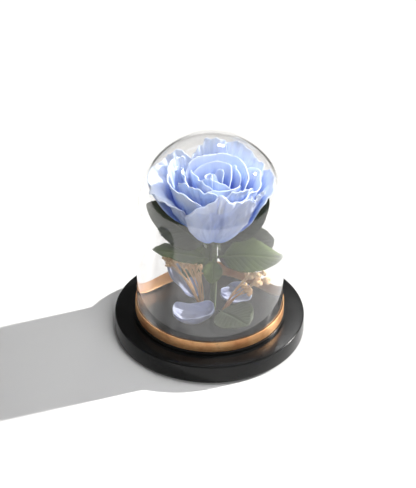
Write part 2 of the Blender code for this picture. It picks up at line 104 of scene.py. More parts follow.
# Petals: name, level on the receptacle, azimuth at the two side edges, rim radius and rim height at
# five or seven places between them, outward flare of the rim, droop of the flared rim
PETALS = (
    ("heart_petal_1", 0.0, 190, 340, (3.0, 2.3, 1.9, 2.2, 3.0), (43.5, 46, 47, 45.5, 42.5), 0, 0),
    ("heart_petal_2", 1.5, 312, 458, (5.4, 5.2, 5.6, 6.2, 6.4), (43.5, 45.5, 46, 45, 42.5), 0, 0),
    ("heart_petal_3", 0.8, 76, 240, (3.6, 4.4, 5.0, 5.2, 5.0), (41.5, 42.5, 43, 44, 43.5), 0, 0),
    ("inner_petal_1", 2.2, -37, 142, (10.8, 10.0, 12.0, 11.0, 16.0), (46.5, 45.6, 46, 45.5, 46), 0.6, 0.2),
    ("inner_petal_2", 2.8, 190, 326, (8.6, 7.3, 7.1, 9.4, 14.0), (46, 46.7, 47.6, 47, 48), 0.5, 0.1),
    ("inner_petal_3", 3.2, -8, 52, (15.2, 15.0, 13.9, 14.6, 15.2), (41.5, 44, 45, 45.5, 44.5), 0.4, 0),
    ("cup_petal_1", 4.7, -30, 142, (20.2, 19.4, 19.6, 17.0, 20.4), (50, 45.2, 46, 46.2, 52), 1.2, 0.4),
    ("cup_petal_2", 3.5, 148, 282, (17.0, 10.4, 9.3, 10.3, 12.6), (50, 45, 45, 45.3, 47), 0.6, 0.2),
    ("cup_petal_3", 4.1, 238, 346, (13.4, 13.0, 14.4, 15.8, 17.0), (44, 44.5, 44.5, 44.5, 48), 0.6, 0.2),
    ("middle_petal_1", 4.7, 147, 208, (21.0, 19.6, 18.0, 16.6, 16.0), (44.5, 45, 45, 44.5, 43.5), 0.8, 0.2),
    ("middle_petal_2", 5.4, 184, 282, (22.6, 18.0, 16.6, 17.4, 19.8), (48, 45.2, 45.8, 46.2, 54), 1.2, 0.3),
    ("middle_petal_3", 5.6, 50, 142, (23.0, 22.0, 21.4, 21.8, 22.8), (44, 42, 41.5, 42, 43), 1.4, 0.5),
    ("middle_petal_4", 7.0, -62, 44, (23.6, 23.6, 26.2, 27.2, 26.4), (45, 41.8, 40.5, 41.8, 44), 2.4, 0.8),
    ("middle_petal_5", 6.4, 284, 350, (19.4, 20.0, 21.2, 22.8, 24.2), (47.5, 47, 45.5, 44.3, 43.3), 1.4, 0.5),
    ("middle_petal_6", 6.4, 168, 262, (28.2, 26.0, 24.2, 22.8, 22.4), (50, 42.5, 43.5, 43, 41.5), 1.8, 0.6),
    ("middle_petal_7", 6.5, 129, 166, (25.2, 26.8, 28.4, 28.8, 29.2), (45.5, 43.6, 43, 42, 42), 2.4, 0.8),
    ("outer_petal_1", 8.4, 234, 332, (30.0, 28.0, 24.8, 23.5, 26.3, 27.8, 30.4),
     (42, 43, 45.8, 48.8, 43.2, 45, 44), 2.4, 0.8),
    ("outer_petal_2", 7.7, 302, 354, (26.0, 26.2, 27.4, 29.2, 30.4), (41, 42, 41, 40.5, 43), 3.0, 1.2),
    ("outer_petal_3", 8.4, 334, 402, (34.4, 33.6, 34.8, 34.6, 33.6), (40, 38, 41, 37.5, 41), 5.6, 2.4),
    ("outer_petal_4", 7.5, 14, 86, (32.6, 32.8, 31.4, 31.2, 32.2), (46, 40.5, 44.5, 47.8, 48), 5.2, 2.0),
    ("outer_petal_5", 6.6, 70, 127, (27.4, 27.8, 27.2, 25.2, 25.4), (49, 50.3, 48.8, 46.2, 46), 3.5, 1.5),
    ("outer_petal_6", 8.4, 118, 182, (31.0, 33.5, 37.0, 38.5, 42.0), (45, 42, 39, 37.5, 42), 6.0, 2.5),
    ("outer_petal_7", 7.7, 150, 222, (37.0, 38.0, 37.8, 33.0, 30.0), (47, 41.5, 38.5, 36, 36), 9.0, 4.0),
)

# The big petal in front, and the degrees that its right edge leans over to the left at its foot
FRONT_PETAL = "outer_petal_1"
FRONT_LEAN = 20.0

# For each kind of petal: depth of its folds, of its long creases, of the pleats at its rim and of
# its crumples, ragged rim, lip radius
PETAL_LOOKS = {
    "heart": (0.08, 0.03, 0.00, 0.00, 0.006, 0.18),
    "inner": (0.16, 0.06, 0.03, 0.10, 0.008, 0.22),
    "cup": (0.26, 0.10, 0.05, 0.30, 0.012, 0.26),
    "middle": (0.32, 0.14, 0.10, 0.40, 0.014, 0.28),
    "outer": (0.80, 0.24, 0.50, 1.10, 0.026, 0.28),
    FRONT_PETAL: (0.95, 0.28, 0.50, 1.30, 0.014, 0.30),
}

# The flap folded down over the front petal: its length, where it starts, is full and ends across
FLAP_LENGTH = 13.0
FLAP_PLACE = (-0.85, 0.0, 0.1, 0.34)
FLAP_ROWS = 14
FLAP_SAG = 0.25

# Leaves: foot on the stem, tip, direction its upper face looks, half width, arch, fold
LEAF_THICKNESS = 0.36
LEAF_COLUMNS = 56
LEAF_ROWS = 120
LEAF_TEETH = 26
LEAF_VEINS = 10
LEAF_WIDEST = 0.85
LEAF_ROUNDNESS = 0.65
LEAF_FOLD_POWER = 1.5
PETIOLE = 0.09
PETIOLE_HALF_WIDTH = 0.55
LEAVES = (
    ("leaf_right_front", (4.9, 6.4, 48.5), (39.2, 1.5, 53.0), (0.05, -0.45, 0.89), 9.8, 2.5, -0.12),
    ("leaf_right_back", (4.2, 9.6, 56.0), (33.4, 17.0, 82.0), (0.1, -0.45, 0.89), 11.5, -3.0, 0.1),
    ("leaf_right_middle", (1.4, 10.8, 44.0), (36.0, 13.4, 57.5), (0.25, -0.55, 0.80), 11.8, 0.8, 0.1),
    ("leaf_left_back", (-2.6, 9.5, 51.5), (-38.4, 9.0, 81.5), (0.55, -0.50, 0.66), 12.0, 0.6, 0.04),
    ("leaf_left_front", (-1.2, 5.4, 48.0), (-32.5, -6.5, 62.0), (0.0, -0.10, 0.99), 8.0, 0.2, 0.04),
    ("leaf_small_front", (1.6, 4.3, 49.0), (0.8, -1.6, 37.5), (0.1, -0.90, 0.42), 5.4, 1.0, 0.2),
    ("leaf_small_left", (-0.2, 13.4, 56.0), (-14.6, 16.4, 29.8), (0.1, -0.85, 0.50), 7.6, 1.5, 0.1),
    ("fallen_leaf", (5.0, 2.6, 18.2), (21.4, -14.8, 18.2), (-0.06, -0.28, 0.95), 12.0, 1.2, 0.1),
)

# Fallen petals: centre, heading, roll and pitch in degrees, length, half width, curl across, along
FALLEN_PETALS = (
    ("fallen_petal_back", (-16.0, 17.5, 29.5), 160, -38, -52, 27.0, 7.8, 1.0, 0.5),
    ("fallen_petal_front", (-7.6, -6.0, 15.9), 187, -5, 8, 27.0, 12.6, 1.40, 1.05),
    ("fallen_petal_right", (13.8, 17.6, 18.4), 12, 24, 0, 17.0, 7.4, 0.6, 0.5),
)
FALLEN_BLUNTNESS = 0.06
FALLEN_FOOT_WIDTH = 0.72
FALLEN_WIDTH_GAIN = 0.34
FALLEN_THICKNESS = 0.36
FALLEN_POINTS = 61

# Stem: its profile gives the radius at shares of its height
STEM_FOOT = (1.3, 8.6)
STEM_BOW = 0.9
STEM_SIDES = 40
STEM_PROFILE = ((0.0, 1.9), (0.3, 1.8), (0.6, 1.85), (0.86, 2.2), (0.95, 4.4), (1.0, 5.9))
STEM_ROWS = 60
SEPALS = 5
SEPAL_START = 4.6
SEPAL_LENGTH = 9.0
SEPAL_HALF_WIDTH = 2.6
SEPAL_THICKNESS = 0.3
SEPAL_ROWS, SEPAL_COLUMNS = 20, 9

# Dried filler: foot, then the tips of its stalks with the radius of the blossom on each
SPRIG_LEFT = ("dried_sprig_left", (-3.4, 5.2), (
    ((-24.9, 5.0, 49.5), 2.8), ((-23.3, 4.5, 45.5), 2.4), ((-20.0, 6.0, 49.0), 3.2),
    ((-15.0, 5.0, 47.0), 3.6), ((-10.4, 4.0, 45.6), 3.0), ((-6.3, 2.8, 45.0), 2.1),
    ((-6.4, 3.2, 39.6), 1.7)))
SPRIG_RIGHT = ("dried_sprig_right", (6.6, 4.4), (
    ((24.0, 4.0, 41.5), 2.4), ((28.0, 4.5, 42.0), 2.7), ((20.5, 5.0, 38.5), 2.3),
    ((30.5, 4.0, 36.5), 2.2), ((26.0, 3.0, 36.0), 3.0), ((22.0, 2.4, 30.5), 2.6),
    ((18.6, 3.4, 33.0), 1.9)))
SPRIG_BOW = 0.16
SPRIG_KNOT = 1.0
KNOT_LOBES = 5
STALK_SIDES, STALK_STEPS = 6, 10
STALK_FOOT_RADIUS, STALK_TIP_RADIUS = 0.5, 0.26
TWIG_SIDES, TWIG_STEPS = 5, 5
TWIG_FOOT_RADIUS, TWIG_TIP_RADIUS = 0.2, 0.12

# Twigs on each stalk, size of the smallest and the largest blossom, and lobes of a blossom
FLUFFY_FILLER = (14, 0.24, 0.42, 7)
SPARSE_FILLER = (4, 0.52, 0.72, 5)

# Photograph: its frame, its scale and where the centre of the base's top is in it
PHOTO_WIDTH, PHOTO_HEIGHT = 416, 488
MM_PER_PIXEL = 0.582
BASE_TOP_PIXEL = (209.5, 310.7)
CAMERA_ELEVATION = math.radians(36.05)
CAMERA_ROLL = math.radians(1.2)
CAMERA_DISTANCE = 4000.0
SENSOR_HEIGHT = 24.0
CAMERA_REACH = 30.0

# Light. How far the sun hangs off, and the height that all lamps aim at, are in metres
SUN_AZIMUTH = 22.0
SUN_ELEVATION = 28.5
SUN_STRENGTH = 7.0
SUN_COLOUR = (1.0, 0.985, 0.96)
SUN_WIDTH = math.radians(2)
SUN_DISTANCE = 1.5
LAMP_AIM = 0.08
WORLD_STRENGTH = 0.11

# Panels: azimuth, elevation, power, width, height and distance in metres, whether the glass shows them
PANELS = (
    ("top_panel", 90, 88, 1.0, 0.8, 0.8, 1.5, False),
    ("front_panel", 292, 30, 7.5, 0.8, 0.8, 1.5, False),
    ("near_panel", 270, 78, 0.32, 0.12, 0.12, 0.2, False),
    ("back_panel", 80, 40, 1.2, 0.15, 0.11, 1.3, True),
    ("left_panel", 157, 38, 0.35, 0.07, 0.07, 1.3, True),
    ("strip", 270, 68, 0.25, 0.015, 0.8, 1.5, True),
)

# White paper that the dome stands on, in metres from its centre
FLOOR_LEFT, FLOOR_RIGHT = 0.48, 0.62
FLOOR_FRONT = 0.90
FLOOR_BACK = 6.0

# Black cards on the paper at both sides of the picture, which give the glass its dark edges, in metres
CARD_INNER, CARD_OUTER = 0.14, 0.45
CARD_NEAR, CARD_FAR = 0.30, 1.20
CARD_HEIGHT = 0.0005
CARD_SHADE = 0.02

# Card that shades the floor: how bright it is, its gap to the glass, its lower edge, points of its arch
SHADE_CARD_SHADE = 0.32
SHADE_CARD_GAP = 2.5
SHADE_CARD_FOOT = 0.5
SHADE_CARD_POINTS = 41

# Petal skins: colours from the claw to the rim, deepest at the claw as painted shade of the bloom's gaps,
# the colour of the painted highlight on the rim, the colour of the light that comes through and its share
PETAL_SKINS = {
    "petal_inner": (
        ((0.0, (0.02, 0.17, 0.93)), (0.46, (0.12, 0.36, 0.96)), (0.70, (0.54, 0.70, 0.98)),
         (0.90, (0.84, 0.895, 0.98))), (0.94, 0.965, 0.99), (0.52, 0.72, 0.99), 0.28),
    "petal_outer": (
        ((0.0, (0.10, 0.32, 0.97)), (0.35, (0.30, 0.50, 0.98)), (0.7, (0.70, 0.79, 0.99)),
         (0.95, (0.84, 0.89, 0.99))), (0.92, 0.95, 0.99), (0.58, 0.75, 1.0), 0.36),
    "petal_front": (
        ((0.0, (0.20, 0.42, 0.98)), (0.35, (0.54, 0.66, 0.99)), (0.7, (0.76, 0.82, 0.99)),
         (0.95, (0.82, 0.87, 0.99))), (0.90, 0.93, 0.99), (0.62, 0.77, 1.0), 0.40),
    # The fallen petals' skin is greyer and darker than the bloom's: painted shade
    "petal_fallen_shaded": (
        ((0.0, (0.38, 0.42, 0.62)), (0.5, (0.48, 0.51, 0.68)), (0.95, (0.56, 0.59, 0.74))),
        (0.68, 0.71, 0.82), (0.46, 0.52, 0.74), 0.30),
}

# Dark and light colour of the leaves, and deep and pale colour of the dried filler
LEAF_GREEN = (0.020, 0.036, 0.003), (0.074, 0.115, 0.010)
# The second pair is the leaf green darkened as painted shade, for the leaves behind the bloom and the fallen
# leaf
LEAF_SHADED = (0.009, 0.015, 0.003), (0.028, 0.040, 0.009)
STRAW_LEFT = (0.42, 0.22, 0.09), (0.80, 0.55, 0.30)
STRAW_RIGHT = (0.50, 0.24, 0.11), (0.90, 0.66, 0.38)


# Shapes


def waves(seed, x, count, low, high):
    """Smooth irregular curve of about unit size: sines with frequencies from low to high."""
    rng = np.random.default_rng(seed)
    total = np.zeros(np.shape(x))
    for _ in range(count):
        frequency, phase, size = rng.uniform(low, high), rng.uniform(0, 2 * math.pi), rng.uniform(0.5, 1)
        total += size * np.sin(2 * math.pi * frequency * x + phase)
    return total / math.sqrt(count)


def smooth_step(x, low, high):
    """0 below low, 1 above high, and smooth between them."""
    s = np.clip((x - low) / (high - low), 0, 1)
    return s * s * (3 - 2 * s)


def grid_normals(points):
    """Unit normals of a grid of points, on the side of (column direction) x (row direction)."""
    across = np.gradient(points, axis=1)
    upward = np.gradient(points, axis=0)
    normal = np.cross(across, upward)
    return normal / np.maximum(np.linalg.norm(normal, axis=-1, keepdims=True), 1e-9)


def grid_faces(rows, columns, first, turned_over=False):
    """Quads of a grid whose points are numbered from first."""
    row, column = np.meshgrid(np.arange(rows - 1), np.arange(columns - 1), indexing="ij")
    corner = (first + row * columns + column).ravel()
    quads = np.stack((corner, corner + 1, corner + columns + 1, corner + columns), axis=1)
    return quads[:, ::-1] if turned_over else quads


def border(rows, columns):
    """Numbers of a grid's border points, in order around it."""
    index = np.arange(rows * columns).reshape(rows, columns)
    return np.concatenate((index[0, :-1], index[:-1, -1], index[-1, :0:-1], index[:0:-1, 0]))


def shell(grid, above, below):
    """Points and faces of a thin closed sheet around a grid, with its depths above and below it."""
    rows, columns = grid.shape[:2]
    count = rows * columns
    normal = grid_normals(grid)
    layers = [(grid + normal * np.broadcast_to(depth, (rows, columns))[..., None]).reshape(-1, 3)
              for depth in (above, -below)]
    ring = border(rows, columns)
    after = np.roll(ring, -1)
    edge = np.stack((ring, ring + count, after + count, after), axis=1)
    sides = grid_faces(rows, columns, 0), grid_faces(rows, columns, count, True)
    return np.concatenate(layers), np.concatenate((*sides, edge)).tolist()


def add_object(name, data):
    """An object of the scene."""
    item = bpy.data.objects.new(name, data)
    bpy.context.scene.collection.objects.link(item)
    return item


def make_object(name, points, faces, material, uvs=None):
    """A smooth mesh object from points in millimetres that rides on the part."""
    mesh = bpy.data.meshes.new(name)
    mesh.from_pydata((np.asarray(points, float) * MM).tolist(), [], [tuple(face) for face in faces])
    mesh.update()
    if uvs is not None:
        layer = mesh.uv_layers.new(name="place")
        loops = np.empty(len(mesh.loops), dtype=np.int32)
        mesh.loops.foreach_get("vertex_index", loops)
        layer.uv.foreach_set("vector", np.asarray(uvs, dtype=np.float32)[loops].ravel())
    mesh.materials.append(material)
    mesh.shade_smooth()
    item = add_object(name, mesh)
    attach(item, "root")
    return item


def stand_for(item, slot, *nodes):
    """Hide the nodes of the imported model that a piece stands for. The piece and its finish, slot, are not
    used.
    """
    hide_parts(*nodes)


def sheet(name, grid, above, below, material, u, v):
    """A piece that is a thin closed sheet, whose skin knows where it is across and along the grid."""
    points, faces = shell(grid, above, below)
    spots = np.stack((u / 2 + 0.5, v), axis=-1).reshape(-1, 2)
    return make_object(name, points, faces, material, np.concatenate((spots, spots)))


def turned(name, profile, material, closed=False):
    """Turn a profile of (radius, height) points around the Z axis; closed joins its two ends."""
    points, rings = [], []
    for radius, height in profile:
        count = SIDES if radius else 1
        rings.append([len(points) + side % count for side in range(SIDES)])
        for side in range(count):
            angle = 2 * math.pi * side / SIDES
            points.append((radius * math.cos(angle), radius * math.sin(angle), height))
    faces = []
    for low, high in zip(rings, rings[1:] + rings[:1] if closed else rings[1:]):
        for side in range(SIDES):
            after = (side + 1) % SIDES
            face = list(dict.fromkeys((low[side], low[after], high[after], high[side])))
            if len(face) > 2:
                faces.append(face)
    item = make_object(name, points, faces, material)
    shape = bmesh.new()
    shape.from_mesh(item.data)
    bmesh.ops.recalc_face_normals(shape, faces=shape.faces)
    shape.to_mesh(item.data)
    shape.free()
    item.data.set_sharp_from_angle(angle=SHARP_ANGLE)
    return item


def bevel(radius, height, size, start):
    """Points of a rounded edge of a profile: a quarter circle that starts at an angle in degrees."""
    angles = [math.radians(start + 90 * step / BEVEL_STEPS) for step in range(BEVEL_STEPS + 1)]
    return [(radius + size * math.cos(angle), height + size * math.sin(angle)) for angle in angles]


def along(values, u):
    """Smooth curve through evenly spaced values, for u from -1 to 1."""
    values = np.asarray(values, float)
    spot = (np.clip(u, -1, 1) + 1) / 2 * (len(values) - 1)
    left = np.clip(spot.astype(int), 0, len(values) - 2)
    f = spot - left
    padded = np.concatenate(([2 * values[0] - values[1]], values, [2 * values[-1] - values[-2]]))
    p0, p1, p2, p3 = (padded[left + k] for k in range(4))
    return 0.5 * (2 * p1 + (p2 - p0) * f + (2 * p0 - 5 * p1 + 4 * p2 - p3) * f ** 2
                  + (3 * p1 - p0 - 3 * p2 + p3) * f ** 3)


def petal_surface(spec, u, t):
    """Points of a bloom petal: u runs across from -1 to 1, t from its claw to its rim."""
    level, start, end, radii, heights, flare, droop = spec[1:]
    claw_height = LEVEL_TOP - LEVEL_STEP * level
    claw_radius = CORE_RADIUS - CORE_TAPER * claw_height + CLAW_GAP
    centre, half = (start + end) / 2, (end - start) / 2
    rim_radius = along(radii, u)
    rim_height = along(heights, u)
    spread = CLAW_SPREAD * max(CLAW_SPREAD_LEVEL - level, 0)
    claw_half = min(CLAW_HALF_ANGLE + spread, half)
    widening = np.sin(np.clip(t / BELLY, 0, 1) * math.pi / 2) ** BELLY_POWER
    lean = (FRONT_LEAN if spec[0] == FRONT_PETAL else 0.0) * (1 - t) * (1 + u) / 2
    azimuth = np.radians(centre + u * (claw_half + (half - claw_half) * widening) - lean)
    corner = u ** CORNER_POWER
    lip = np.clip((t - BELLY) / (1 - BELLY), 0, 1) * (1 - LIP_SIDE_LOSS * corner)
    share = t * (1 - CORNER_CUT * corner)
    cup = np.sin(math.pi / 2 * np.minimum(share, 1)) ** (1 - FULLNESS_LOSS * level)
    radius = claw_radius + (rim_radius - flare - claw_radius) * cup + flare * lip ** LIP_POWER
    height = claw_height + (rim_height + droop - claw_height) * share ** RISE_POWER - droop * lip ** 2
    x, y = radius * np.cos(azimuth), radius * np.sin(azimuth)
    cos_tilt, sin_tilt = math.cos(BLOOM_TILT), math.sin(BLOOM_TILT)
    return np.stack((BLOOM_BASE[0] + x,
                     BLOOM_BASE[1] + y * cos_tilt - height * sin_tilt,
                     BLOOM_BASE[2] + y * sin_tilt + height * cos_tilt), axis=-1)


def petal_relief(u, t, folds, creases, pleats, crumples, seed):
    """Height of a petal's folds, creases, rim pleats and crumples over its plain surface."""
    fan = u * (1 + 0.25 * t) + 0.06 * waves(seed + 3, t, 2, 0.5, 1.5)
    broad = folds * smooth_step(t, 0.3, 1.0) * waves(seed + 1, fan, 3, 0.7, 1.7)
    lines = creases * smooth_step(t, 0.05, 0.4) * (1 - 0.8 * smooth_step(t, 0.75, 1))
    lines = lines * waves(seed + 2, fan, 5, 3, 9)
    rim = pleats * smooth_step(t, 0.55, 1.0) * waves(seed + 6, fan, 3, 2.2, 4.5)
    dents = 0.3 * folds * waves(seed + 4, 0.7 * u + t, 3, 1, 2.5) * waves(seed + 5, u - 0.6 * t, 3, 1, 2.5)
    ridges = np.abs(waves(seed + 11, u + 0.5 * t, 3, 0.8, 2.2))
    ridges = ridges - np.abs(waves(seed + 12, t - 0.6 * u, 3, 1, 2.6))
    dents = dents + crumples * ridges
    return (broad + lines + rim + dents * smooth_step(t, 0.2, 0.6)) * (1 - 0.45 * u ** 6)


def rolled(grid, radius, flap):
    """Add rows to a petal that roll its rim outward and carry on down its face as a flap."""
    normal = grid_normals(grid)[-1]
    rise = grid[-1] - grid[-2]
    rise /= np.linalg.norm(rise, axis=-1, keepdims=True)
    rows = [grid]
    for step in range(1, ROLL_ROWS + 1):
        angle = ROLL_ANGLE * step / ROLL_ROWS
        curl = math.sin(angle) * rise + (1 - math.cos(angle)) * normal
        rows.append((grid[-1] + radius[:, None] * curl)[None])
    if flap is None:
        return np.concatenate(rows)
    onward = math.cos(ROLL_ANGLE) * rise + math.sin(ROLL_ANGLE) * normal
    for step in range(1, FLAP_ROWS + 1):
        share = step / FLAP_ROWS
        downward = onward - FLAP_SAG * share * normal
        rows.append(rows[ROLL_ROWS] + (flap[:, None] * share * downward)[None])
    return np.concatenate(rows)


def make_petal(spec, seed, material):
    """One petal of the bloom, with folds, creases, a ragged rim and a rolled lip."""
    look = PETAL_LOOKS.get(spec[0], PETAL_LOOKS[spec[0].split("_")[0]])
    folds, creases, pleats, crumples, ragged, lip = look
    columns = max(30, round((spec[3] - spec[2]) / DEGREES_PER_COLUMN))
    u, t = np.meshgrid(np.linspace(-1, 1, columns + 1), np.linspace(0, 1, PETAL_ROWS) ** 0.85)
    rim = ragged * (waves(seed + 7, u, 3, 1, 3) + 0.22 * waves(seed + 8, u, 6, 8, 18))
    grid = petal_surface(spec, u, t * (1 + rim * smooth_step(t, 0.5, 1)))
    grid = grid + grid_normals(grid) * petal_relief(u, t, folds, creases, pleats, crumples, seed)[..., None]
    across = u[0]
    roll = lip * np.clip(1 + 0.25 * waves(seed + 9, across, 3, 1, 3), 0.4, 2) * (1 - 0.6 * across ** 8)
    flap, added = None, ROLL_ROWS
    if spec[0] == FRONT_PETAL:
        start, full, still, end = FLAP_PLACE
        flap = FLAP_LENGTH * np.clip((across - start) / (full - start), 0, 1)
        flap = flap * (1 - smooth_step(across, still, end))
        flap *= 1 + 0.08 * waves(seed + 10, across, 3, 1.5, 4)
        roll = roll * (1 + smooth_step(flap, 0, FLAP_LENGTH))
        added += FLAP_ROWS
    grid = rolled(grid, roll, flap)
    extra = np.repeat(u[:1], added, axis=0)
    u = np.concatenate((u, extra))
    t = np.concatenate((t, 1 + 0.01 * np.arange(1, added + 1)[:, None] * np.ones_like(extra)))
    half = PETAL_THICKNESS / 2 * (1 - 0.5 * smooth_step(t, 1 + 0.01 * (added - 3), 1 + 0.01 * added))
    item = sheet(spec[0], grid, half, half, material, u, t)
    stand_for(item, "blue_petal", spec[0])


def place(x, y, z, origin, along_axis, up_hint):
    """Put local points at an origin, with +X along one direction and +Z near another."""
    axis_x = Vector(along_axis).normalized()
    axis_y = Vector(up_hint).cross(axis_x).normalized()
    axis_z = axis_x.cross(axis_y)
    turn = np.array([axis_x, axis_y, axis_z])
    return np.stack((x, y, z), axis=-1) @ turn + np.array(origin)


def leaf_outline(v):
    """Width of a leaf along its length as a share of its widest, plain and with saw teeth."""
    inside = np.clip((v - PETIOLE) / (1 - PETIOLE), 0, 1)
    outline = np.sin(math.pi * inside ** LEAF_WIDEST) ** LEAF_ROUNDNESS
    saw = (v * LEAF_TEETH) % 1.0
    return outline, outline * (1 + 0.07 * (saw - 0.5))


def make_leaf(spec, seed, material):
    """One serrated leaf with a round stalk, a sunken midrib and puffed fields between its veins."""
    name, foot, tip, facing, half_width, arch, fold = spec
    direction = np.array(tip) - np.array(foot)
    length = float(np.linalg.norm(direction))
    u, v = np.meshgrid(np.linspace(-1, 1, LEAF_COLUMNS + 1), np.linspace(0, 1, LEAF_ROWS + 1))
    plain, toothed = leaf_outline(v)
    edge = smooth_step(np.abs(u), 0.8, 1.0)
    half = np.maximum(half_width * (plain + (toothed - plain) * edge), PETIOLE_HALF_WIDTH)
    on_blade = smooth_step(v, PETIOLE, PETIOLE + 0.1) * smooth_step(1 - v, 0.0, 0.08)
    vein = (v - 0.28 * np.abs(u)) * LEAF_VEINS + 0.5 * (u > 0)
    fields = np.abs(np.sin(math.pi * vein)) ** 0.6 * np.sin(math.pi * np.clip(np.abs(u), 0, 1)) ** 0.5
    relief = 0.14 * fields + 0.5 * waves(seed, v + 0.3 * u, 3, 0.8, 2) * np.abs(u) ** 2
    relief += 0.35 * waves(seed + 1, v, 4, 3, 6) * np.abs(u) ** 4
    groove = 0.4 * np.exp(-(u * half / 0.7) ** 2)
    z = arch * np.sin(math.pi * v) + fold * np.abs(u) ** LEAF_FOLD_POWER * half
    z = z + (relief - groove) * on_blade
    grid = place(v * length, u * half, z, foot, direction, facing)
    rib = 0.55 * np.exp(-(u * half / 0.55) ** 2) * (1 - 0.7 * v)
    item = sheet(name, grid[:, ::-1], LEAF_THICKNESS / 2 + 0.2 * (1 - on_blade), LEAF_THICKNESS / 2 + rib,
                 material, u[:, ::-1], v)
    stand_for(item, "green_leaf", name)


def curled(u, v, length, half_width, curl_across, curl_along):
    """A loose petal, bent up at its sides and ends; its middle is at the origin."""
    rounded_ends = np.sqrt(1 - (2 * v - 1) ** 2 * (1 - FALLEN_BLUNTNESS))
    across = u * curl_across
    reach = half_width * rounded_ends * (FALLEN_FOOT_WIDTH + FALLEN_WIDTH_GAIN * v) / curl_across
    y = reach * np.sin(across)
    lift_across = reach * (1 - np.cos(across))
    angle = (v - 0.5) * 2 * curl_along
    x = length / 2 / curl_along * np.sin(angle)
    lift_along = length / 2 / curl_along * (1 - np.cos(angle))
    return x, y, lift_across + lift_along


def make_fallen_petal(spec, seed, material):
    """One loose petal lying on the floor of the dome."""
    name, centre, heading, roll, pitch, length, half_width, curl_across, curl_along = spec
    u, v = np.meshgrid(np.linspace(-1, 1, FALLEN_POINTS), np.linspace(0, 1, FALLEN_POINTS))
    x, y, z = curled(u, v, length, half_width, curl_across, curl_along)
    spread = np.maximum(np.abs(u), np.abs(2 * v - 1))
    y = y * (1 + 0.07 * waves(seed + 2, v, 3, 1, 3))
    z = z + smooth_step(spread, 0.4, 1) * (0.5 + 1.3 * waves(seed, u + 0.7 * v, 3, 0.8, 2.4))
    z = z + 0.9 * np.exp(-((u - 0.25 + 0.5 * v) / 0.12) ** 2) * smooth_step(v, 0.1, 0.6)
    z = z + 0.10 * waves(seed + 1, u, 5, 3, 8)
    turn = (Matrix.Rotation(math.radians(heading), 3, "Z") @ Matrix.Rotation(math.radians(pitch), 3, "Y")
            @ Matrix.Rotation(math.radians(roll), 3, "X"))
    grid = np.stack((x, y, z), axis=-1) @ np.array(turn).T + np.array(centre)
    item = sheet(name, grid, FALLEN_THICKNESS / 2, FALLEN_THICKNESS / 2, material, u, v)
    stand_for(item, "blue_petal", name)


def tube(centres, radii, sides):
    """Points and faces of a closed round tube along a line of centres."""
    centres = np.asarray(centres, float)
    heading = np.gradient(centres, axis=0)
    heading /= np.linalg.norm(heading, axis=1, keepdims=True)
    side_axis = np.cross(heading, (0.31, 0.95, 0.07))
    side_axis /= np.linalg.norm(side_axis, axis=1, keepdims=True)
    other_axis = np.cross(heading, side_axis)
    angle = 2 * math.pi * np.arange(sides) / sides
    ring = np.cos(angle)[None, :, None] * side_axis[:, None]
    ring = ring + np.sin(angle)[None, :, None] * other_axis[:, None]
    points = (centres[:, None] + ring * np.asarray(radii, float)[:, None, None]).reshape(-1, 3)
    faces = []
    for step in range(len(centres) - 1):
        for side in range(sides):
            after = (side + 1) % sides
            low, high = step * sides, (step + 1) * sides
            faces.append((low + side, low + after, high + after, high + side))
    faces.append(tuple(range(sides))[::-1])
    faces.append(tuple(range(len(points) - sides, len(points))))
    return points, faces


def joined(pieces):
    """One list of points and one of faces from many of each."""
    points, faces, first = [], [], 0
    for piece_points, piece_faces in pieces:
        points.append(np.asarray(piece_points, float))
        faces += [tuple(first + corner for corner in face) for face in piece_faces]
        first += len(piece_points)
    return np.concatenate(points), faces


def stalk_line(start, end, bow, wander, rng, steps):
    """Centres of a thin stalk between two points, bowed upward and a little uneven."""
    start, end = np.array(start, float), np.array(end, float)
    share = np.linspace(0, 1, steps + 1)
    line = start + share[:, None] * (end - start)
    line[:, 2] += bow * np.linalg.norm(end - start) * np.sin(math.pi * share)
    for axis in range(3):
        line[:, axis] += wander * waves(rng.integers(1 << 30), share, 2, 0.5, 1.8) * np.sin(math.pi * share)
    return line


def floret(centre, radius, rng, lobes):
    """A small dried blossom: a lumpy ball with deep lobes and a crinkled skin."""
    shape = bmesh.new()
    bmesh.ops.create_icosphere(shape, subdivisions=3, radius=1.0)
    points = np.array([vertex.co for vertex in shape.verts])
    faces = [tuple(vertex.index for vertex in face.verts) for face in shape.faces]
    shape.free()
    hubs = rng.normal(size=(lobes, 3))
    hubs /= np.linalg.norm(hubs, axis=1, keepdims=True)
    nearness = (points @ hubs.T).max(axis=1)
    size = 0.62 + 0.45 * smooth_step(nearness, 0.35, 0.95)
    for axis in range(3):
        size += 0.05 * waves(rng.integers(1 << 30), points[:, axis], 3, 1.5, 3.5)
    stretch = rng.uniform(0.8, 1.15, 3)
    return points * size[:, None] * stretch * radius + np.array(centre), faces


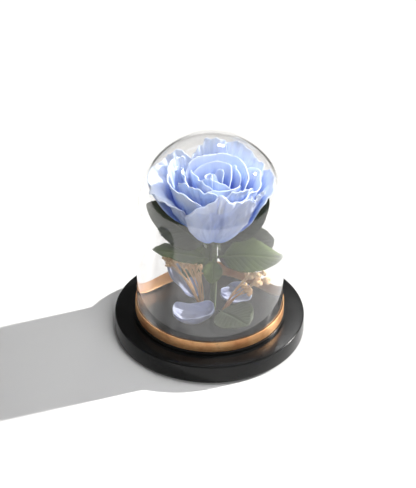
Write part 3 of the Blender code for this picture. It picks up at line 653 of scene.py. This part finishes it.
def make_stem(material):
    """Stem with the swelling under the bloom and its pointed sepals."""
    share = np.linspace(0, 1, STEM_ROWS)
    foot, top = np.array((*STEM_FOOT, GLASS_FOOT)), np.array(BLOOM_BASE)
    centres = foot + share[:, None] * (top - foot)
    centres[:, 0] += STEM_BOW * np.sin(math.pi * share)
    radii = np.interp(share, *zip(*STEM_PROFILE)) * (1 + 0.03 * waves(5, share, 4, 3, 9))
    pieces = [tube(centres, radii, STEM_SIDES)]
    for sepal in range(SEPALS):
        azimuth = 2 * math.pi * (sepal + 0.1) / SEPALS
        out = np.array((math.cos(azimuth), math.sin(azimuth), 0.0))
        across = np.array((-math.sin(azimuth), math.cos(azimuth), 0.0))
        rows, columns = np.linspace(0, 1, SEPAL_ROWS), np.linspace(-1, 1, SEPAL_COLUMNS)
        s, w = np.meshgrid(rows, columns, indexing="ij")
        half = SEPAL_HALF_WIDTH * np.sqrt(1 - s) * (0.55 + 0.45 * np.sin(math.pi * np.clip(s * 1.4, 0, 1)))
        drop = -0.6 - SEPAL_LENGTH * 0.42 * s ** 1.6 + 0.25 * w ** 2
        reach = SEPAL_START + SEPAL_LENGTH * 0.62 * s
        grid = top + reach[..., None] * out + (half * w)[..., None] * across
        grid[..., 2] += drop
        pieces.append(shell(grid, SEPAL_THICKNESS / 2, SEPAL_THICKNESS / 2))
    points, faces = joined(pieces)
    item = make_object("stem", points, faces, material)
    stand_for(item, "green_stem", "stem")


def make_sprig(spec, fluffy, material, seed):
    """Dried filler: a fan of stalks from one foot, each with twigs and small blossoms at its end."""
    name, foot, tips = spec
    twigs, smallest, largest, lobes = FLUFFY_FILLER if fluffy else SPARSE_FILLER
    rng = np.random.default_rng(seed)
    low = np.array((*foot, GLASS_FOOT + SPRIG_KNOT))
    stalks, heads = [floret(low, SPRIG_KNOT, rng, KNOT_LOBES)], []
    for index, (tip, radius) in enumerate(tips):
        line = stalk_line(low, tip, SPRIG_BOW if index % 2 else SPRIG_BOW / 2, 0.5, rng, STALK_STEPS)
        stalks.append(tube(line, np.linspace(STALK_FOOT_RADIUS, STALK_TIP_RADIUS, len(line)), STALK_SIDES))
        for _ in range(twigs):
            spread = rng.normal(size=3)
            spread /= np.linalg.norm(spread)
            goal = np.array(tip) + spread * radius * rng.uniform(0.35, 0.95)
            root = line[rng.integers(4, 9)] if fluffy else line[-2]
            twig = stalk_line(root, goal, 0.05, 0.15, rng, TWIG_STEPS)
            stalks.append(tube(twig, np.linspace(TWIG_FOOT_RADIUS, TWIG_TIP_RADIUS, len(twig)), TWIG_SIDES))
            heads.append(floret(goal, radius * rng.uniform(smallest, largest), rng, lobes))
    points, faces = joined(stalks + heads)
    item = make_object(name, points, faces, material)
    stand_for(item, "dried_straw", name)


def make_base(material):
    """Round black plinth with rounded edges and the low step that the dome stands on."""
    low_edge = bevel(BASE_RADIUS - BASE_FOOT_BEVEL, BASE_FOOT_BEVEL, BASE_FOOT_BEVEL, -90)
    high_edge = bevel(BASE_RADIUS - BASE_BEVEL, BASE_TOP - BASE_BEVEL, BASE_BEVEL, 0)
    step_edge = bevel(STEP_RADIUS - STEP_BEVEL, FLOOR - STEP_BEVEL, STEP_BEVEL, 0)
    profile = [(0, 0)] + low_edge + high_edge + [(STEP_RADIUS, BASE_TOP)] + step_edge + [(0, FLOOR)]
    stand_for(turned("base_body", profile, material), "black_base", "base")


def make_band(material):
    """Thin copper-coloured band with a slightly rounded outer face."""
    inner = BAND_OUTER - BAND_THICKNESS
    low_edge = bevel(BAND_OUTER - BAND_EDGE, BAND_LOW + BAND_EDGE, BAND_EDGE, -90)
    high_edge = bevel(BAND_OUTER - BAND_EDGE, BAND_HIGH - BAND_EDGE, BAND_EDGE, 0)
    profile = [(inner, BAND_LOW)] + low_edge + high_edge + [(inner, BAND_HIGH)]
    stand_for(turned("band", profile, material, closed=True), "copper_band", "gold_band")


def make_dome(material):
    """Clear glass dome of even thickness with a rounded foot."""
    inner = GLASS_RADIUS - GLASS_WALL
    rim = GLASS_WALL / 2
    foot = [(inner + rim - rim * math.cos(a), GLASS_FOOT + rim - rim * math.sin(a))
            for a in np.linspace(0, math.pi, DOME_FOOT_POINTS)]
    angles = np.linspace(0, math.pi / 2, DOME_RINGS + 1)
    outer, hollow = ([(radius * math.cos(a), DOME_CENTRE + radius * math.sin(a)) for a in angles[:-1]]
                     for radius in (GLASS_RADIUS, inner))
    profile = [(0, DOME_CENTRE + inner)] + hollow[::-1] + foot + outer + [(0, TOTAL_HEIGHT)]
    item = turned("dome", profile, material)
    item.visible_shadow = False
    item.visible_diffuse = False
    stand_for(item, "clear_glass", "glass_dome")


# Materials


class Nodes:
    """Short calls for building a node material."""

    def __init__(self, name):
        self.material = bpy.data.materials.new(name)
        self.material.use_nodes = True
        self.tree = self.material.node_tree
        self.shader = self.tree.nodes["Principled BSDF"]
        self.output = self.tree.nodes["Material Output"]

    def add(self, kind, **settings):
        node = self.tree.nodes.new(kind)
        for key, value in settings.items():
            if key in node.inputs:
                node.inputs[key].default_value = value
            else:
                setattr(node, key, value)
        return node

    def link(self, start, end):
        self.tree.links.new(start, end)

    def fill(self, sockets, values):
        """Set sockets to constants or colours, or link the outputs of nodes to them."""
        for socket, value in zip(sockets, values):
            if isinstance(value, (int, float)):
                socket.default_value = value
            elif isinstance(value, tuple):
                socket.default_value = (*value, 1)
            else:
                self.link(value, socket)

    def feed(self, name, value):
        """Fill one socket of the shader."""
        self.fill([self.shader.inputs[name]], [value])

    def axes(self, kind):
        """One kind of coordinates, split into its axes."""
        parts = self.add("ShaderNodeSeparateXYZ")
        self.link(self.add("ShaderNodeTexCoord").outputs[kind], parts.inputs[0])
        return parts.outputs

    def noise(self, scale, detail, roughness=0.5, kind="Object", stretch=(1, 1, 1)):
        """Noise in the space of the object, or in another kind of coordinates."""
        mapping = self.add("ShaderNodeMapping", Scale=stretch)
        self.link(self.add("ShaderNodeTexCoord").outputs[kind], mapping.inputs["Vector"])
        node = self.add("ShaderNodeTexNoise", Scale=scale, Detail=detail, Roughness=roughness)
        self.link(mapping.outputs["Vector"], node.inputs["Vector"])
        return node.outputs["Fac"]

    def math(self, operation, first, second=0.0):
        node = self.add("ShaderNodeMath", operation=operation)
        self.fill(node.inputs[:2], (first, second))
        return node.outputs[0]

    def ramp(self, factor, stops):
        node = self.add("ShaderNodeValToRGB")
        elements = node.color_ramp.elements
        while len(elements) < len(stops):
            elements.new(0.5)
        for element, (position, colour) in zip(elements, stops):
            element.position = position
            element.color = (*colour, 1)
        self.link(factor, node.inputs["Fac"])
        return node.outputs["Color"]

    def blend(self, factor, first, second, mode="MIX"):
        node = self.add("ShaderNodeMix", data_type="RGBA", blend_type=mode)
        self.fill((node.inputs[0], node.inputs[6], node.inputs[7]), (factor, first, second))
        return node.outputs[2]

    def remap(self, value, low, high, from_low=0.0, from_high=1.0):
        node = self.add("ShaderNodeMapRange")
        self.fill(node.inputs[:5], (value, from_low, from_high, low, high))
        return node.outputs["Result"]

    def bump(self, height, distance, strength=1.0, under=None):
        node = self.add("ShaderNodeBump", Strength=strength, Distance=distance)
        self.link(height, node.inputs["Height"])
        if under is not None:
            self.link(under, node.inputs["Normal"])
        return node.outputs["Normal"]

    def let_through(self, colour, share, normal=None):
        """Mix in a share of light that comes through from the other side."""
        through = self.add("ShaderNodeBsdfTranslucent", Color=(*colour, 1))
        if normal is not None:
            self.link(normal, through.inputs["Normal"])
        mix = self.add("ShaderNodeMixShader", Fac=share)
        self.link(self.shader.outputs[0], mix.inputs[1])
        self.link(through.outputs[0], mix.inputs[2])
        self.link(mix.outputs[0], self.output.inputs["Surface"])


def grey(value):
    """A neutral colour."""
    return (value, value, value)


def petal_material(name):
    """Velvety preserved petal with fine veins, pale towards its rim: deeper blue at its foot is painted
    shade, and its rim has a painted highlight.
    """
    stops, painted_rim_highlight, glow, glow_share = PETAL_SKINS[name]
    nodes = Nodes(name)
    up = nodes.axes("UV")["Y"]
    patches = nodes.noise(70, 4)
    veins = nodes.noise(1.0, 5, 0.6, "UV", (38, 1.4, 1))
    height = nodes.math("ADD", up, nodes.remap(patches, -0.10, 0.10))
    height = nodes.math("ADD", height, nodes.remap(veins, -0.04, 0.04))
    # The ramp's deeper blue towards the claw is painted shade of the bloom's gaps
    colour = nodes.ramp(height, stops)
    colour = nodes.blend(0.14, colour, nodes.ramp(veins, ((0.3, grey(0.62)), (0.7, grey(1.0)))), "MULTIPLY")
    # Painted highlight: the rim and the rolled lip past it are drawn towards the near-white rim colour
    rim = nodes.remap(up, 0, 1, 0.955, 1.0)
    colour = nodes.blend(nodes.math("MULTIPLY", rim, 0.8), colour, painted_rim_highlight)
    nodes.feed("Base Color", colour)
    nodes.feed("Roughness", nodes.remap(patches, 0.50, 0.68))
    nodes.feed("Sheen Weight", 0.2)
    nodes.feed("Specular IOR Level", 0.3)
    tissue = nodes.noise(1500, 3)
    fine = nodes.bump(tissue, 0.00003)
    normal = nodes.bump(veins, 0.00022, 0.7, fine)
    nodes.feed("Normal", normal)
    nodes.let_through(glow, glow_share, normal)
    return nodes.material


def leaf_material(name, dark, light):
    """Preserved leaf: dark satin green with a pale midrib, side veins and a brighter edge."""
    nodes = Nodes(name)
    across, up, _ = nodes.axes("UV")
    side = nodes.math("ABSOLUTE", nodes.remap(across, -1, 1))
    vein = nodes.math("SUBTRACT", up, nodes.math("MULTIPLY", side, 0.28))
    vein = nodes.math("ABSOLUTE", nodes.math("SINE", nodes.math("MULTIPLY", vein, LEAF_VEINS * math.pi)))
    patches = nodes.noise(90, 5, 0.6)
    mottle = nodes.noise(420, 3)
    colour = nodes.blend(nodes.remap(patches, 0, 1, 0.3, 0.7), dark, light)
    colour = nodes.blend(nodes.remap(mottle, 0, 0.35, 0.35, 0.75), colour, light)
    pale = tuple(1.5 * c + 0.01 for c in light)
    colour = nodes.blend(nodes.remap(vein, 0.45, 0, 0.0, 0.16), colour, pale)
    colour = nodes.blend(nodes.remap(side, 0.75, 0, 0.0, 0.06), colour, pale)
    colour = nodes.blend(nodes.remap(side, 0, 0.5, 0.86, 1.0), colour, light)
    nodes.feed("Base Color", colour)
    nodes.feed("Roughness", nodes.remap(patches, 0.38, 0.58))
    nodes.feed("Specular IOR Level", 0.25)
    fine = nodes.bump(nodes.noise(900, 3), 0.00008)
    normal = nodes.bump(nodes.remap(vein, 0, 1, 0, 0.25), 0.0001, 0.6, fine)
    nodes.feed("Normal", normal)
    nodes.let_through([2 * c for c in light], 0.15)
    return nodes.material


def stem_material():
    """Dull green stem with lengthwise fibres and brown flecks."""
    nodes = Nodes("stem_skin")
    fibres = nodes.noise(1.0, 4, stretch=(700, 700, 40))
    flecks = nodes.noise(260, 4)
    colour = nodes.ramp(fibres, ((0.3, (0.022, 0.035, 0.012)), (0.7, (0.075, 0.10, 0.035))))
    colour = nodes.blend(nodes.remap(flecks, 0, 0.6, 0.55, 0.75), colour, (0.10, 0.06, 0.03))
    nodes.feed("Base Color", colour)
    nodes.feed("Roughness", nodes.remap(fibres, 0.5, 0.75))
    nodes.feed("Normal", nodes.bump(fibres, 0.0002))
    return nodes.material


def straw_material(name, deep, pale):
    """Dried filler: tan stalks and cream blossoms, with painted shade darkening their hollow parts."""
    nodes = Nodes(name)
    patches = nodes.noise(330, 5, 0.65)
    up = nodes.remap(nodes.axes("Object")["Z"], 0, 1, 0.022, 0.036)
    colour = nodes.blend(up, deep, pale)
    colour = nodes.blend(nodes.remap(patches, 0, 0.55, 0.45, 0.75), colour, deep)
    # Painted shade: concave spots, found by pointiness, are darkened towards the deep colour
    hollow_shade = nodes.add("ShaderNodeNewGeometry").outputs["Pointiness"]
    colour = nodes.blend(nodes.remap(hollow_shade, 0.7, 0, 0.42, 0.52), colour, deep, "MULTIPLY")
    nodes.feed("Base Color", colour)
    nodes.feed("Roughness", nodes.remap(patches, 0.65, 0.9))
    nodes.feed("Normal", nodes.bump(nodes.noise(1400, 4), 0.00015))
    nodes.let_through(pale, 0.2)
    return nodes.material


def base_material():
    """Black satin lacquer with faint scuffs, dust and an uneven gloss."""
    nodes = Nodes("black_lacquer")
    scuffs = nodes.noise(1.0, 5, 0.6, stretch=(300, 60, 300))
    cloud = nodes.noise(35, 3)
    dust = nodes.noise(2600, 2)
    colour = nodes.ramp(cloud, ((0.3, grey(0.006)), (0.7, grey(0.011))))
    colour = nodes.blend(nodes.remap(dust, 0, 0.4, 0.76, 0.84), colour, grey(0.08))
    nodes.feed("Base Color", colour)
    nodes.feed("Specular IOR Level", 0.19)
    gloss = nodes.math("ADD", nodes.remap(cloud, 0.17, 0.25), nodes.remap(scuffs, -0.04, 0.06))
    nodes.feed("Roughness", gloss)
    nodes.feed("Normal", nodes.bump(nodes.noise(1800, 3), 0.00002))
    return nodes.material


def band_material():
    """Brushed copper-coloured foil: fine lines around it, warm patches and worn spots."""
    nodes = Nodes("brushed_copper")
    lines = nodes.noise(1.0, 4, 0.6, stretch=(60, 60, 2600))
    patches = nodes.noise(75, 4, 0.6)
    flakes = nodes.noise(1.0, 5, 0.7, stretch=(500, 500, 1500))
    colour = nodes.ramp(patches, ((0.3, (0.62, 0.27, 0.11)), (0.7, (0.97, 0.62, 0.31))))
    colour = nodes.blend(nodes.remap(lines, 0, 0.3, 0.35, 0.7), colour, (0.55, 0.24, 0.10))
    bare = nodes.remap(patches, 0, 1, 0.56, 0.66)
    worn = nodes.math("MULTIPLY", bare, nodes.remap(flakes, 0, 1, 0.45, 0.6))
    colour = nodes.blend(nodes.math("MULTIPLY", worn, 0.7), colour, (0.30, 0.17, 0.09))
    nodes.feed("Base Color", colour)
    nodes.feed("Metallic", 0.8)
    rough = nodes.math("ADD", nodes.remap(lines, 0.38, 0.50), nodes.math("MULTIPLY", worn, 0.25))
    nodes.feed("Roughness", rough)
    fine = nodes.bump(lines, 0.000006)
    nodes.feed("Normal", nodes.bump(flakes, 0.00001, 0.6, fine))
    return nodes.material


def glass_material():
    """Clear glass that shows what is behind it."""
    nodes = Nodes("clear_dome_glass")
    nodes.feed("Base Color", grey(1.0))
    nodes.feed("Transmission Weight", 1.0)
    nodes.feed("IOR", GLASS_IOR)
    nodes.feed("Roughness", 0.0)
    tint = nodes.add("ShaderNodeVolumeAbsorption", Color=(*GLASS_TINT, 1), Density=GLASS_DENSITY)
    nodes.link(tint.outputs[0], nodes.output.inputs["Volume"])
    return nodes.material


def floor_material():
    """Plain white studio floor."""
    nodes = Nodes("studio_floor")
    grain = nodes.noise(8, 2)
    nodes.feed("Base Color", nodes.ramp(grain, ((0.3, grey(0.75)), (0.7, grey(0.78)))))
    nodes.feed("Roughness", 0.9)
    nodes.feed("Specular IOR Level", 0.1)
    return nodes.material


def card_material(name, shade):
    """Matt card with a slight grain."""
    nodes = Nodes(name)
    grain = nodes.noise(60, 2)
    colours = (0.3, grey(0.9 * shade)), (0.7, grey(1.1 * shade))
    nodes.feed("Base Color", nodes.ramp(grain, colours))
    return nodes.material


# Studio


def make_card(name, outline, material):
    """A flat card of the studio, from its outline in metres."""
    mesh = bpy.data.meshes.new(name)
    mesh.from_pydata(outline, [], [tuple(range(len(outline)))])
    mesh.materials.append(material)
    card = add_object(name, mesh)
    return card


def lay(name, left, right, near, far, height, material):
    """Lay a rectangular card flat."""
    make_card(name, [(left, near, height), (right, near, height), (right, far, height), (left, far, height)],
              material)


def make_papers():
    """White floor of the studio and the black cards on it."""
    white = floor_material()
    lay("studio_floor", -FLOOR_LEFT, FLOOR_RIGHT, -FLOOR_FRONT, FLOOR_BACK, 0, white)
    black = card_material("black_card", CARD_SHADE)
    lay("card_left", -CARD_OUTER, -CARD_INNER, CARD_NEAR, CARD_FAR, CARD_HEIGHT, black)
    lay("card_right", CARD_INNER, CARD_OUTER, CARD_NEAR, CARD_FAR, CARD_HEIGHT, black)


def make_world():
    """Faint even light from all sides."""
    world = bpy.data.worlds.new("studio")
    world.use_nodes = True
    background = world.node_tree.nodes["Background"]
    background.inputs["Color"].default_value = (1.0, 0.99, 0.97, 1)
    background.inputs["Strength"].default_value = WORLD_STRENGTH
    bpy.context.scene.world = world


def make_shade():
    """Card behind the dome that keeps the sun off the floor where the glass shades it."""
    distance = GLASS_RADIUS + SHADE_CARD_GAP
    slope = math.tan(math.radians(SUN_ELEVATION))
    middle = DOME_CENTRE - distance * slope
    top = GLASS_RADIUS / math.cos(math.radians(SUN_ELEVATION))
    angles = np.linspace(0, math.pi, SHADE_CARD_POINTS)
    arch = [(GLASS_RADIUS * math.cos(a), middle + top * math.sin(a)) for a in angles]
    outline = [(GLASS_RADIUS, SHADE_CARD_FOOT)] + arch + [(-GLASS_RADIUS, SHADE_CARD_FOOT)]
    sun = towards(SUN_AZIMUTH, 0)
    side = Vector((-sun.y, sun.x, 0))
    points = [(side * across - sun * distance + Vector((0, 0, height))) * MM for across, height in outline]
    card = make_card("shade_card", [tuple(point) for point in points],
                     card_material("shade_card", SHADE_CARD_SHADE))
    for kind in ("camera", "diffuse", "glossy", "transmission", "volume_scatter"):
        setattr(card, "visible_" + kind, False)


def towards(azimuth, elevation):
    """Direction at an azimuth from +X towards +Y and an elevation, both in degrees."""
    azimuth, elevation = math.radians(azimuth), math.radians(elevation)
    flat = math.cos(elevation)
    return Vector((flat * math.cos(azimuth), flat * math.sin(azimuth), math.sin(elevation)))


def hang(name, data, azimuth, elevation, distance):
    """Hang a lamp so that it shines at the rose from one direction."""
    lamp = add_object(name, data)
    direction = towards(azimuth, elevation)
    lamp.location = direction * distance + Vector((0, 0, LAMP_AIM))
    lamp.rotation_euler = direction.to_track_quat("Z", "Y").to_euler()
    lamp.visible_camera = False
    return lamp


def make_lamps():
    """The sun and the panels of the studio."""
    sun = bpy.data.lights.new("key_sun", "SUN")
    sun.energy = SUN_STRENGTH
    sun.color = SUN_COLOUR
    sun.angle = SUN_WIDTH
    hang("key_sun", sun, SUN_AZIMUTH, SUN_ELEVATION, SUN_DISTANCE)
    for name, azimuth, elevation, power, width, height, distance, mirrored in PANELS:
        panel = bpy.data.lights.new(name, "AREA")
        panel.energy = power
        panel.shape = "RECTANGLE"
        panel.size = width
        panel.size_y = height
        lamp = hang(name, panel, azimuth, elevation, distance)
        lamp.visible_glossy = mirrored
        lamp.visible_transmission = mirrored


def make_camera():
    """Camera at the photograph's angle, far off with a long lens, as the photograph has no vanishing."""
    away = Vector((0, -math.cos(CAMERA_ELEVATION), math.sin(CAMERA_ELEVATION)))
    turn = away.to_track_quat("Z", "Y").to_matrix().to_4x4() @ Matrix.Rotation(CAMERA_ROLL, 4, "Z")
    right, up = turn.col[0].xyz, turn.col[1].xyz
    aim = Vector((0, 0, BASE_TOP))
    aim -= right * (BASE_TOP_PIXEL[0] - PHOTO_WIDTH / 2) * MM_PER_PIXEL
    aim -= up * (PHOTO_HEIGHT / 2 - BASE_TOP_PIXEL[1]) * MM_PER_PIXEL
    data = bpy.data.cameras.new("photo_camera")
    data.sensor_fit = "VERTICAL"
    data.sensor_height = SENSOR_HEIGHT
    data.lens = SENSOR_HEIGHT * CAMERA_DISTANCE / (PHOTO_HEIGHT * MM_PER_PIXEL)
    data.clip_end = CAMERA_REACH
    camera = add_object("photo_camera", data)
    turn.translation = (aim + away * CAMERA_DISTANCE) * MM
    camera.matrix_world = turn
    bpy.context.scene.camera = camera


def set_up_render():
    """Plain view and enough bounces for light inside the glass and between the petals."""
    scene = bpy.context.scene
    scene.view_settings.view_transform = "Standard"
    scene.cycles.caustics_reflective = False
    scene.cycles.caustics_refractive = False
    scene.cycles.max_bounces = 20
    scene.cycles.diffuse_bounces = 12
    scene.cycles.transmission_bounces = 12
    scene.cycles.transparent_max_bounces = 12


def main():
    """Build every piece of the rose and its dome, then the studio around it."""
    inner_skin, outer_skin, front_skin, fallen_shaded_skin = (petal_material(name) for name in PETAL_SKINS)
    green_skin = leaf_material("leaf_green", *LEAF_GREEN)
    shaded_leaf_skin = leaf_material("leaf_painted_shade", *LEAF_SHADED)
    make_base(base_material())
    make_band(band_material())
    make_dome(glass_material())
    make_stem(stem_material())
    for number, spec in enumerate(PETALS):
        skin = outer_skin if spec[0].startswith("outer") else inner_skin
        make_petal(spec, 100 * number + 17, front_skin if spec[0] == FRONT_PETAL else skin)
    for number, spec in enumerate(LEAVES):
        # Painted shade: the leaves behind the bloom and the fallen leaf get the darker leaf skin
        shaded = spec[0].endswith(("back", "middle", "fallen_leaf"))
        make_leaf(spec, 50 * number + 7, shaded_leaf_skin if shaded else green_skin)
    for number, spec in enumerate(FALLEN_PETALS):
        make_fallen_petal(spec, 70 * number + 3, fallen_shaded_skin)
    make_sprig(SPRIG_LEFT, True, straw_material("straw_left", *STRAW_LEFT), 11)
    make_sprig(SPRIG_RIGHT, False, straw_material("straw_right", *STRAW_RIGHT), 23)
    make_papers()
    make_world()
    make_shade()
    make_lamps()
    make_camera()
    set_up_render()


main()
